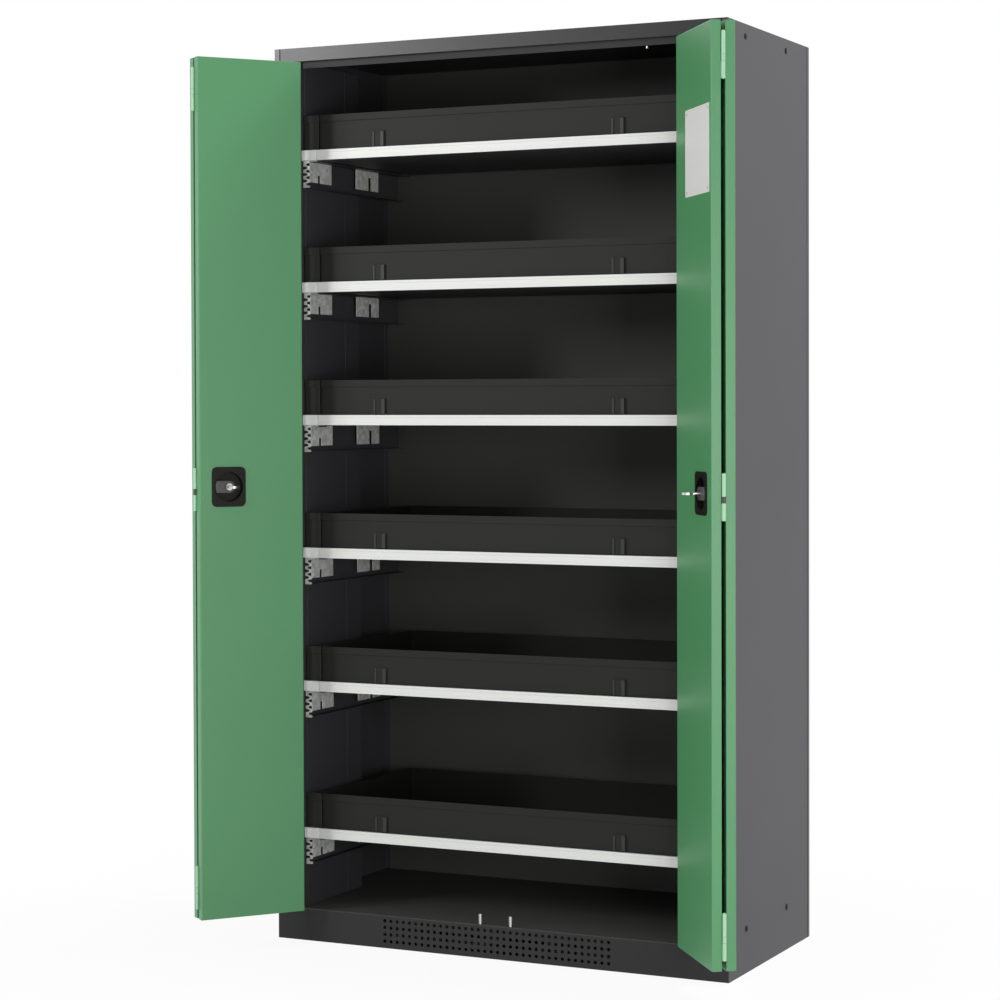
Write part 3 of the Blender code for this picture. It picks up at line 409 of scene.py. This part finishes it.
def repaint(node, finish, wanted):
    """Gives the faces of a CAD node whose centre is wanted another finish."""
    mesh = nodes[node].data
    mesh.materials.append(finish)
    for face in mesh.polygons:
        if wanted(face.center):
            face.material_index = len(mesh.materials) - 1


# Where a runner's parts begin and end: back from the strip's front, and up or down from the strip's middle
CAP_DEPTH, CAP_HALF_HEIGHT = 7.6 * MM, 11.5 * MM
GUARD_BOTTOM = 12.9 * MM
TEETH_PAST_CAP, TEETH_DROP = 3 * MM, 11 * MM
PLATE_DROP, PLATE_BOTTOM = 13.2 * MM, 58 * MM
# Hook-in plates, out from the edge of the tray
PLATE_NEAR, PLATE_FAR = TRAY_EDGE + 23 * MM, TRAY_EDGE + 28 * MM


def repaint_runner(name, level):
    """White end cap, zinc teeth and hook-in plates, black tub guard, and the rest in the body's paint; cap
    and guard are painted lighter as painted light against the door's shadow.
    """
    strip_low, strip_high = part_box(f"tray_strip_{level}")
    middle = (strip_low.z + strip_high.z) / 2
    cap_back = strip_low.y + CAP_DEPTH

    def on_cap(c):
        return c.y < cap_back and abs(c.z - middle) < CAP_HALF_HEIGHT

    def on_guard(c):
        return c.z > middle + GUARD_BOTTOM and not on_cap(c)

    def on_track(c):
        on_teeth = c.y < cap_back + TEETH_PAST_CAP and c.z < middle - TEETH_DROP
        beside = PLATE_NEAR < abs(c.x) < PLATE_FAR
        on_plate = beside and c.z < middle - PLATE_DROP and c.z > middle - PLATE_BOTTOM
        return not (on_cap(c) or on_guard(c) or on_teeth or on_plate)

    repaint(name, END_CAP_PAINTED_LIGHT, on_cap)
    repaint(name, GUARD_PAINTED_LIGHT, on_guard)
    repaint(name, BODY_PAINT, on_track)


def repaint_body():
    """Painted light on the inner faces of floor and back, painted shade on the plinth, under the header and
    on its front, and the bright keeper pins on the floor.
    """
    thin, inner_skin = 0.2 * MM, BACK - 1.2 * MM
    # Painted light on the floor's top and the back's inner face
    repaint("floor_panel", INSIDE_PAINTED_LIGHT, lambda c: abs(c.z - FLOOR_TOP) < thin)
    repaint("back_panel", INSIDE_PAINTED_LIGHT, lambda c: c.y < inner_skin)
    repaint("floor_panel", NICKEL, lambda c: c.z > FLOOR_TOP + thin)
    # Painted shade on the plinth, under the header and on the header front
    repaint("plinth_frame", SHADE, lambda c: True)
    header_low = BODY_HIGH.z - HEADER_HEIGHT
    repaint("roof_panel", SHADE, lambda c: c.z < header_low)
    repaint("roof_panel", HEADER_PAINTED_SHADE, lambda c: c.y < FRONT + thin / 2 and c.z > header_low)


def repaint_fold_hinge(side):
    """Hinge barrels in a lighter copy of the doors' paint as a painted highlight, and the collar of the
    middle pin.
    """
    pin_low, pin_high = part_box(f"{side}_fold_pin_top")
    axis = (pin_low + pin_high).xy / 2
    for piece in ("door_outer_leaf", "door_inner_leaf", "fold_pin_top", "fold_pin_bottom"):
        repaint(f"{side}_{piece}", BARREL_HIGHLIGHT, lambda c: (c.xy - axis).length < BARREL_REACH)
    repaint(f"{side}_fold_pin_middle", COLLAR, lambda c: True)


def leaf_place(side):
    """Placement of the frame of a door's inner leaf, whose x runs along the leaf and -y out of its face."""
    low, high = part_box(f"{side}_fold_pin_top")
    middle = (low + high) / 2
    turn = -SIDES[side] * LEAF_TURN
    return Matrix.Translation((middle.x, middle.y, 0)) @ Matrix.Rotation(turn, 4, "Z")


def make_label_plate():
    """Blank plate on the right inner leaf: a board in a raised frame, with a fixing in each corner."""
    near, far, low, high = -0.011, -0.169, 1.582, 1.754
    rim, lap, rise, radius = 4 * MM, 0.3 * MM, 0.6 * MM, 0.25 * MM
    rim_root, board_root, stud_root = 0.2 * MM, 0.1 * MM, 0.05 * MM
    face = LEAF_FACE - rise
    board = bmesh.new()
    add_block(board, (far, face, low), (near, LEAF_FACE + board_root, high), radius)
    for low_x, high_x, low_z, high_z in (
        (far, far + rim, low, high),
        (near - rim, near, low, high),
        (far + rim - lap, near - rim + lap, low, low + rim),
        (far + rim - lap, near - rim + lap, high - rim, high),
    ):
        add_block(board, (low_x, face - rise, low_z), (high_x, face + rim_root, high_z), radius)
    place = leaf_place("right")
    new_piece("label_plate", board, LABEL_BOARD, "right_inner_door", place)
    studs, inset = bmesh.new(), 9 * MM
    dome = [(2.4 * MM, 0), (2.4 * MM, 0.3 * MM), (1.6 * MM, 0.9 * MM), (0, 1.1 * MM)]
    for x in (far + inset, near - inset):
        for z in (low + inset, high - inset):
            add_turned(studs, dome, facing((0, -1, 0), (x, face + stud_root, z)), SMALL_STEPS)
    new_piece(
        "label_fixings", studs, NICKEL, "right_inner_door", place, ROUND_BELOW
    )


def make_side_plugs():
    """Plugs in the fixing holes near the corners of each side panel."""
    rows, heights = (-0.147, 0.101), (0.0915, 1.9245)
    profile = [(6.8 * MM, 0), (6.8 * MM, 0.5 * MM), (6.0 * MM, 1.0 * MM), (3.0 * MM, 1.3 * MM)]
    profile.append((0, 1.35 * MM))
    for side, sign in SIDES.items():
        plugs = bmesh.new()
        for y in rows:
            for z in heights:
                add_turned(plugs, profile, facing((sign, 0, 0), (sign * HALF_WIDTH, y, z)))
        new_piece(
            f"side_plugs_{side}", plugs, PLUG_AND_SEAM_SHADOW, "cabinet", None, ROUND_BELOW
        )


def make_header_stud():
    """Bright guide stud that hangs below the header at the right."""
    spot = (0.346, -0.2335, 1.9035)
    head, shank, lowest, highest = 3.0 * MM, 2.0 * MM, -4 * MM, 12 * MM
    profile = [(0, lowest), (shank, lowest), (head, -3 * MM), (head, 0), (shank, 0.2 * MM)]
    profile += [(shank, highest), (0, highest)]
    stud = bmesh.new()
    add_turned(stud, profile, Matrix.Translation(spot), SMALL_STEPS)
    new_piece("header_stud", stud, NICKEL, "cabinet", None, ROUND_BELOW)


def make_header_corners():
    """Folded front edges of the side panels at the ends of the header, in the trim's paint, lighter than
    the header's painted shade, each with a black strip as the painted shadow in its seam.
    """
    bottom, top = BODY_HIGH.z - 29.5 * MM, BODY_HIGH.z - 0.3 * MM
    outer, inner, gap = HALF_WIDTH - 0.2 * MM, HALF_WIDTH - 12.5 * MM, 1.8 * MM
    root, corner_proud, seam_proud = FRONT + 0.3 * MM, FRONT - 0.7 * MM, FRONT - 0.15 * MM
    corners, seam_shadows = bmesh.new(), bmesh.new()
    for sign in SIDES.values():
        edge, seam = sign * outer, sign * inner
        add_block(corners, (edge, corner_proud, bottom), (seam, root, top), 0.3 * MM)
        far = seam - sign * gap
        # Painted shadow: a black strip stands in for the shade in the seam's gap
        add_block(seam_shadows, (seam, seam_proud, bottom), (far, root, top), 0.05 * MM)
    new_piece("header_corners", corners, SHADED_TRIM, "cabinet")
    new_piece("header_seam_shadows", seam_shadows, PLUG_AND_SEAM_SHADOW, "cabinet")


def make_plinth_edge():
    """Folded top edge of the plinth plate, which catches the light; the trim's paint is lighter than the
    plinth's painted shade, a painted highlight line.
    """
    half, height, over = HALF_WIDTH - 3 * MM, 2.2 * MM, 0.15 * MM
    proud, root = FRONT - 0.5 * MM, FRONT + 0.3 * MM
    edge = bmesh.new()
    add_block(edge, (-half, proud, FLOOR_TOP - height), (half, root, FLOOR_TOP + over), 0.2 * MM)
    new_piece("plinth_edge", edge, SHADED_TRIM, "cabinet")


def make_tub_clips(level):
    """Ribs at the two edges of each grip clip low on the tub's front wall, paler than the tub as a painted
    highlight.
    """
    tub_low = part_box(f"tray_tub_{level}")[0]
    strip_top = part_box(f"tray_strip_{level}")[1].z
    from_middle, ribs = 280 * MM, ((-13.6 * MM, -9.2 * MM), (5.6 * MM, 13.6 * MM))
    face = tub_low.y - 1.5 * MM
    front, root = face - 0.2 * MM, face + 1.9 * MM
    bottom, top = strip_top + 2 * MM, strip_top + 34 * MM
    clips = bmesh.new()
    for sign in SIDES.values():
        middle = sign * from_middle
        for near, far in ribs:
            add_block(clips, (middle + near, front, bottom), (middle + far, root, top), 0.5 * MM)
    new_piece(f"tub_clips_{level}", clips, CLIP_HIGHLIGHT, f"tray_{level}")


def make_rear_edge(side):
    """Folded rear edge strip of a side panel, in the trim's paint, darker than the panel as a painted
    shaded band.
    """
    sign = SIDES[side]
    root, proud, width, clear = 0.4 * MM, 0.7 * MM, 11 * MM, 1 * MM
    skin = sign * HALF_WIDTH
    low = (skin - sign * root, BACK - width, clear)
    high = (skin + sign * proud, BACK + 0.2 * MM, BODY_HIGH.z - clear)
    strip = bmesh.new()
    add_block(strip, low, high, 0.35 * MM)
    new_piece(f"rear_edge_{side}", strip, SHADED_TRIM, "cabinet")


def make_back_rivets():
    """Domed rivets that hold the back panel along its two side edges."""
    dome = [(3.2 * MM, 0), (3.2 * MM, 0.3 * MM), (2.2 * MM, 1.0 * MM), (0, 1.3 * MM)]
    from_edge, lowest, rows, row_span = 22 * MM, 90 * MM, 9, BODY_HIGH.z - 150 * MM
    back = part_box("back_panel")[1].y - 0.05 * MM
    rivets = bmesh.new()
    for x in (-HALF_WIDTH + from_edge, HALF_WIDTH - from_edge):
        for row in range(rows):
            z = lowest + row * row_span / (rows - 1)
            add_turned(rivets, dome, facing((0, 1, 0), (x, back, z)), SMALL_STEPS)
    new_piece("back_rivets", rivets, NICKEL, "cabinet", None, ROUND_BELOW)


for level in LEVELS:
    for side in SIDES:
        repaint_runner(f"runner_{side}_{level}", level)
repaint_body()
for side in SIDES:
    repaint_fold_hinge(side)

make_label_plate()
make_side_plugs()
make_header_stud()
make_header_corners()
make_plinth_edge()
for level in LEVELS:
    make_tub_clips(level)
for side in SIDES:
    make_rear_edge(side)
make_back_rivets()

# Studio: floor, world, lamps and camera

FLOOR_SIZE = 60
FLOOR_GREY = (0.86, 0.86, 0.86, 1)
# Share of white in the floor's colour beside the body, and the distance from it at which all is white
GLOW_BESIDE, GLOW_REACH = 0.92, 1.3
WORLD_LIGHT = 0.48

# The photograph's camera: place in metres, angles in degrees, lens in millimetres, shift in picture widths
CAMERA_SPOT = (2.3477, -5.0906, 1.1820)
CAMERA_YAW, CAMERA_PITCH, CAMERA_ROLL = -25.712, -1.121, -0.176
CAMERA_LENS, CAMERA_SENSOR, CAMERA_SHIFT = 92.0, 36, -0.05


def seen_directly(tree):
    """Mask of the rays from the camera, from gloss and through glass."""
    rays = tree.nodes.new("ShaderNodeLightPath")
    seen = math_node(tree, "ADD", rays.outputs["Is Camera Ray"], rays.outputs["Is Glossy Ray"])
    return math_node(tree, "ADD", seen, rays.outputs["Is Transmission Ray"], clamp=True)


def make_floor():
    """Matt floor that keeps the object's shadow and turns white away from the body."""
    bm = bmesh.new()
    bmesh.ops.create_grid(bm, x_segments=1, y_segments=1, size=FLOOR_SIZE)
    mesh = bpy.data.meshes.new("studio_floor")
    bm.to_mesh(mesh)
    bm.free()
    floor = link(bpy.data.objects.new("studio_floor", mesh))
    finish = bpy.data.materials.new("studio floor")
    finish.use_nodes = True
    tree = finish.node_tree
    tree.nodes.clear()
    out = tree.nodes.new("ShaderNodeOutputMaterial")
    matt = tree.nodes.new("ShaderNodeBsdfDiffuse")
    matt.inputs["Color"].default_value = FLOOR_GREY
    glow = tree.nodes.new("ShaderNodeEmission")
    blend = tree.nodes.new("ShaderNodeMixShader")
    spot = tree.nodes.new("ShaderNodeTexCoord")
    split = tree.nodes.new("ShaderNodeSeparateXYZ")
    tree.links.new(spot.outputs["Object"], split.inputs["Vector"])
    beside = math_node(tree, "SUBTRACT", math_node(tree, "ABSOLUTE", split.outputs["X"], 0), HALF_WIDTH)
    before = math_node(tree, "SUBTRACT", math_node(tree, "ABSOLUTE", split.outputs["Y"], 0), BACK)
    away = math_node(tree, "MAXIMUM", beside, before)
    far = tree.nodes.new("ShaderNodeMapRange")
    far.interpolation_type = "SMOOTHSTEP"
    far.inputs["From Min"].default_value = 0.0
    far.inputs["From Max"].default_value = GLOW_REACH
    far.inputs["To Min"].default_value = GLOW_BESIDE
    far.inputs["To Max"].default_value = 1.0
    tree.links.new(away, far.inputs["Value"])
    open_floor = math_node(tree, "GREATER_THAN", away, 0.0)
    share = math_node(tree, "MULTIPLY", open_floor, far.outputs["Result"])
    tree.links.new(math_node(tree, "MULTIPLY", seen_directly(tree), share), blend.inputs["Fac"])
    tree.links.new(matt.outputs["BSDF"], blend.inputs[1])
    tree.links.new(glow.outputs["Emission"], blend.inputs[2])
    tree.links.new(blend.outputs["Shader"], out.inputs["Surface"])
    mesh.materials.append(finish)


def make_world():
    """White to the camera, to gloss and to glass, and a plain grey light to everything else."""
    world = bpy.data.worlds.new("studio")
    bpy.context.scene.world = world
    world.use_nodes = True
    tree = world.node_tree
    background = tree.nodes["Background"]
    strength = spread_value(tree, seen_directly(tree), WORLD_LIGHT, 1.0)
    tree.links.new(strength, background.inputs["Strength"])
    background.inputs["Color"].default_value = (1, 1, 1, 1)


def add_softbox(name, spot, target, width, height, power):
    """Rectangular lamp at a spot that faces a target, sizes in metres and power in watts."""
    lamp = bpy.data.lights.new(name, "AREA")
    lamp.shape = "RECTANGLE"
    lamp.size, lamp.size_y = width, height
    lamp.energy = power
    box = link(bpy.data.objects.new(name, lamp))
    box.location = spot
    box.rotation_euler = (Vector(target) - Vector(spot)).to_track_quat("-Z", "Y").to_euler()


def make_camera():
    """At the photograph's place, level and angle."""
    yaw, pitch, roll = (math.radians(angle) for angle in (CAMERA_YAW, CAMERA_PITCH, CAMERA_ROLL))
    ahead = Vector((math.sin(yaw) * math.cos(pitch), math.cos(yaw) * math.cos(pitch), math.sin(pitch)))
    level = Vector((math.cos(yaw), -math.sin(yaw), 0))
    above = level.cross(ahead)
    right = level * math.cos(roll) + above * math.sin(roll)
    up = above * math.cos(roll) - level * math.sin(roll)
    lens = bpy.data.cameras.new("camera")
    lens.sensor_width = CAMERA_SENSOR
    lens.lens = CAMERA_LENS
    lens.shift_y = CAMERA_SHIFT
    camera = link(bpy.data.objects.new("camera", lens))
    turn = Matrix((right, up, -ahead)).transposed().to_4x4()
    camera.matrix_world = Matrix.Translation(CAMERA_SPOT) @ turn
    bpy.context.scene.camera = camera


make_floor()
make_world()
add_softbox("key", spot=(-3.0, -3.9, 2.6), target=(0, -0.2, 1.0), width=1.3, height=1.6, power=98)
add_softbox("front", spot=(3.5, -3.8, 0.9), target=(0, -0.3, 0.9), width=1.6, height=1.4, power=78)
add_softbox("side", spot=(3.2, 1.9, 4.8), target=(0.5, 0, 1.9), width=1.8, height=1.8, power=190)
make_camera()
bpy.context.scene.view_settings.view_transform = "Standard"
